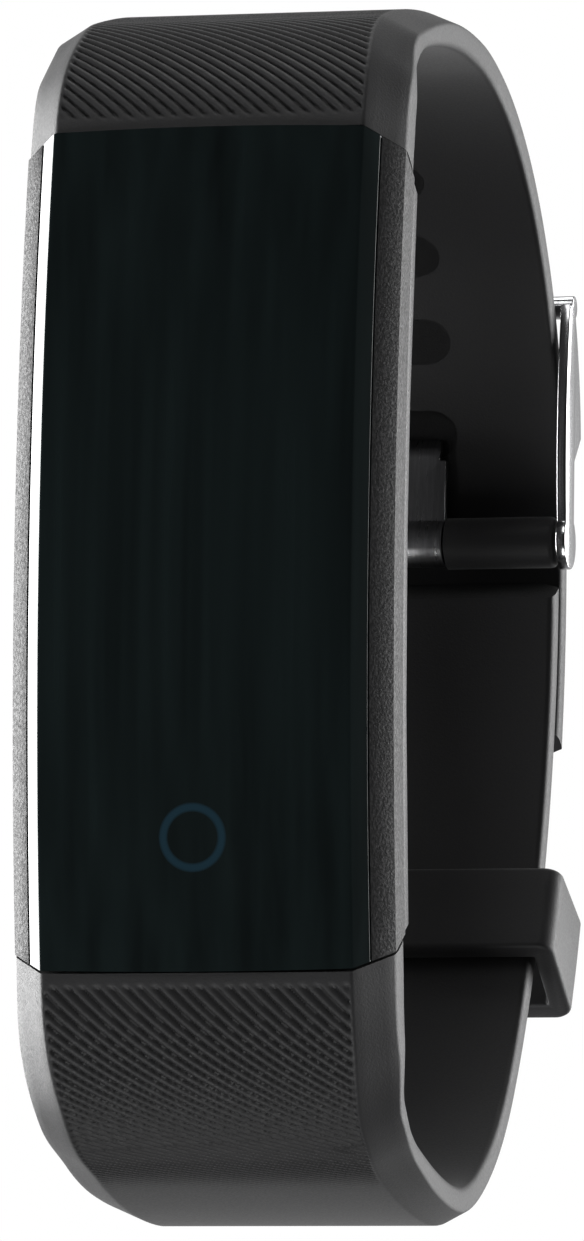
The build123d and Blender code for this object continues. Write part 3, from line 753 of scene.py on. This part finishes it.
BAR_STEEL = grained("bar_steel", (0.40, 0.40, 0.41), (0.60, 0.60, 0.61), 0.26, 4200, 0.000004,
                    stretch=(1.0, 0.03, 0.03), metallic=1.0)
SPRING_STEEL = grained("spring_steel", (0.32, 0.32, 0.33), (0.50, 0.49, 0.48), 0.30, 6000, 0.000003,
                       metallic=1.0)
for bar in ("upper_bar", "lower_bar", "buckle_bar"):
    low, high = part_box(bar + "_tube")
    middle = (low + high) / 2
    half = (high.x - low.x) / 2 / MM - PIN_INSIDE
    dress(BAR_STEEL, bar + "_tube", bar + "_pin_left", bar + "_pin_right")
    for name, side in (("left", -1), ("right", 1)):
        coil = piece(f"{bar}_coil_{name}", coil_half(side, half, middle), "tracker", "spring_steel",
                     bar + "_spring")
        coil.data.materials.append(SPRING_STEEL)
        smooth(coil, 60)
        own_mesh(coil)


# ---- Screws, seal and lens tape -------------------------------------------------------------------
# Four blackened cross-head screws pull the rear cover up against a soft seal; black foam tape, cut
# around the display, holds the glass down on its ledge.
dress(grained("screw_steel", (0.10, 0.10, 0.10), (0.30, 0.30, 0.31), 0.34, 5200, 0.000008, metallic=1.0),
      "housing_screws")
dress(grained("seal_rubber", (0.012, 0.012, 0.012), (0.026, 0.026, 0.027), 0.60, 2600, 0.00001),
      "case_seal")
dress(grained("adhesive", (0.014, 0.014, 0.014), (0.040, 0.040, 0.040), 0.70, 5200, 0.00002),
      "lens_adhesive")


# ---- Pulse sensor ---------------------------------------------------------------------------------
# A smoked clear disc pressed into the rear cover. Behind it a foam block with three windows keeps the
# two green lamps' light off the photodiode between them.
def smoked_window(name, tint, roughness):
    """Clear moulding with a few fine wipe marks."""
    material, nodes, shader = shader_of(name, tint, roughness)
    shader.inputs["Transmission Weight"].default_value = 0.85
    shader.inputs["IOR"].default_value = 1.49
    wipes = object_noise(nodes, 700, (1.0, 1.0, 0.15), 5.0)
    nodes.links.new(spread(nodes, wipes, 0.4, 0.75, roughness, roughness + 0.10), shader.inputs["Roughness"])
    nodes.links.new(blend_colours(nodes, wipes, tuple(c * 0.8 for c in tint), tint),
                    shader.inputs["Base Color"])
    return material


dress(smoked_window("window_glass", (0.42, 0.42, 0.44), 0.03), "sensor_window")
dress(grained("foam", (0.010, 0.010, 0.010), (0.034, 0.034, 0.034), 0.78, 6000, 0.00005),
      "sensor_light_shield")
dress(grained("led", (0.50, 0.62, 0.20), (0.72, 0.82, 0.48), 0.16, 2200, 0.000004), "green_leds")
dress(grained("diode", (0.030, 0.018, 0.045), (0.085, 0.060, 0.110), 0.14, 1500, 0.000004),
      "photodiode")


# ---- Charging contacts ----------------------------------------------------------------------------
# Two gold-plated studs set flush in the rear cover, turned flat on their faces and a little worn from
# the charger's springs.
dress(grained("gold_contact", (0.62, 0.42, 0.16), (0.86, 0.64, 0.28), 0.24, 3200, 0.000006,
              stretch=(1.0, 1.0, 0.3), metallic=1.0), "charging_contacts")


# ---- Display and touch key ------------------------------------------------------------------------
# The display stack is bonded glass over a fine pixel grid. An amber ribbon with copper tracks joins
# it to the board, and the touch key is a disc of copper film behind the printed ring.
dress(grained("panel", (0.008, 0.009, 0.012), (0.030, 0.034, 0.048), 0.12, 7000, 0.000003,
              stretch=(1.0, 1.0, 0.05)), "display_panel")
dress(grained("flex_film", (0.30, 0.13, 0.03), (0.58, 0.30, 0.09), 0.36, 3400, 0.00001,
              stretch=(1.0, 0.02, 0.02)), "display_flex")
dress(grained("copper_film", (0.52, 0.25, 0.13), (0.78, 0.46, 0.30), 0.34, 4200, 0.00001,
              stretch=(1.0, 1.0, 0.12), metallic=1.0), "touch_key_electrode")


# ---- Battery --------------------------------------------------------------------------------------
# A flat lithium pouch in aluminium laminate, faintly wrinkled where the foil was drawn over the cell.
dress(grained("battery_foil", (0.44, 0.45, 0.47), (0.66, 0.67, 0.69), 0.36, 520, 0.00004, metallic=0.9),
      "battery")


# ---- Main board and chips -------------------------------------------------------------------------
# One glass-fibre board under green solder mask, its copper tracks just showing through, with two
# moulded chips soldered on the side that faces the wrist.
def solder_mask(name, green, track, roughness):
    """Solder mask that is lighter and raised over the tracks."""
    material, nodes, shader = shader_of(name, green, roughness)
    place = nodes.nodes.new("ShaderNodeTexCoord")
    cells = nodes.nodes.new("ShaderNodeTexVoronoi")
    cells.distance = "MANHATTAN"
    cells.inputs["Scale"].default_value = 700
    nodes.links.new(place.outputs["Object"], cells.inputs["Vector"])
    tracks = spread(nodes, cells.outputs["Distance"], 0.52, 0.60, 0.0, 1.0)
    nodes.links.new(blend_colours(nodes, tracks, green, track), shader.inputs["Base Color"])
    fibre = object_noise(nodes, 4000, detail=2.0)
    nodes.links.new(spread(nodes, fibre, 0.3, 0.7, roughness - 0.06, roughness + 0.08),
                    shader.inputs["Roughness"])
    add_bump(nodes, shader, tracks, 0.00002)
    return material


dress(solder_mask("board", (0.010, 0.085, 0.035), (0.035, 0.20, 0.085), 0.34), "main_board")
dress(grained("chip", (0.014, 0.014, 0.015), (0.034, 0.034, 0.036), 0.50, 6500, 0.00001),
      "processor_chip", "motion_sensor_chip")


# ---- Vibration motor ------------------------------------------------------------------------------
# A nickel-plated coin can with a fixed axle; a half disc of sintered tungsten turns inside it, and its
# lopsided weight makes the buzz.
dress(grained("motor_steel", (0.50, 0.50, 0.50), (0.68, 0.67, 0.65), 0.26, 2600, 0.000006,
              stretch=(1.0, 1.0, 0.1), metallic=1.0), "vibration_motor_case")
dress(grained("weight_metal", (0.20, 0.20, 0.21), (0.38, 0.38, 0.39), 0.46, 7000, 0.00002, metallic=1.0),
      "vibration_motor_weight")


size = {"cad": [list(corner) for corner in cad_box], "visual": [list(corner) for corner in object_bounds()]}
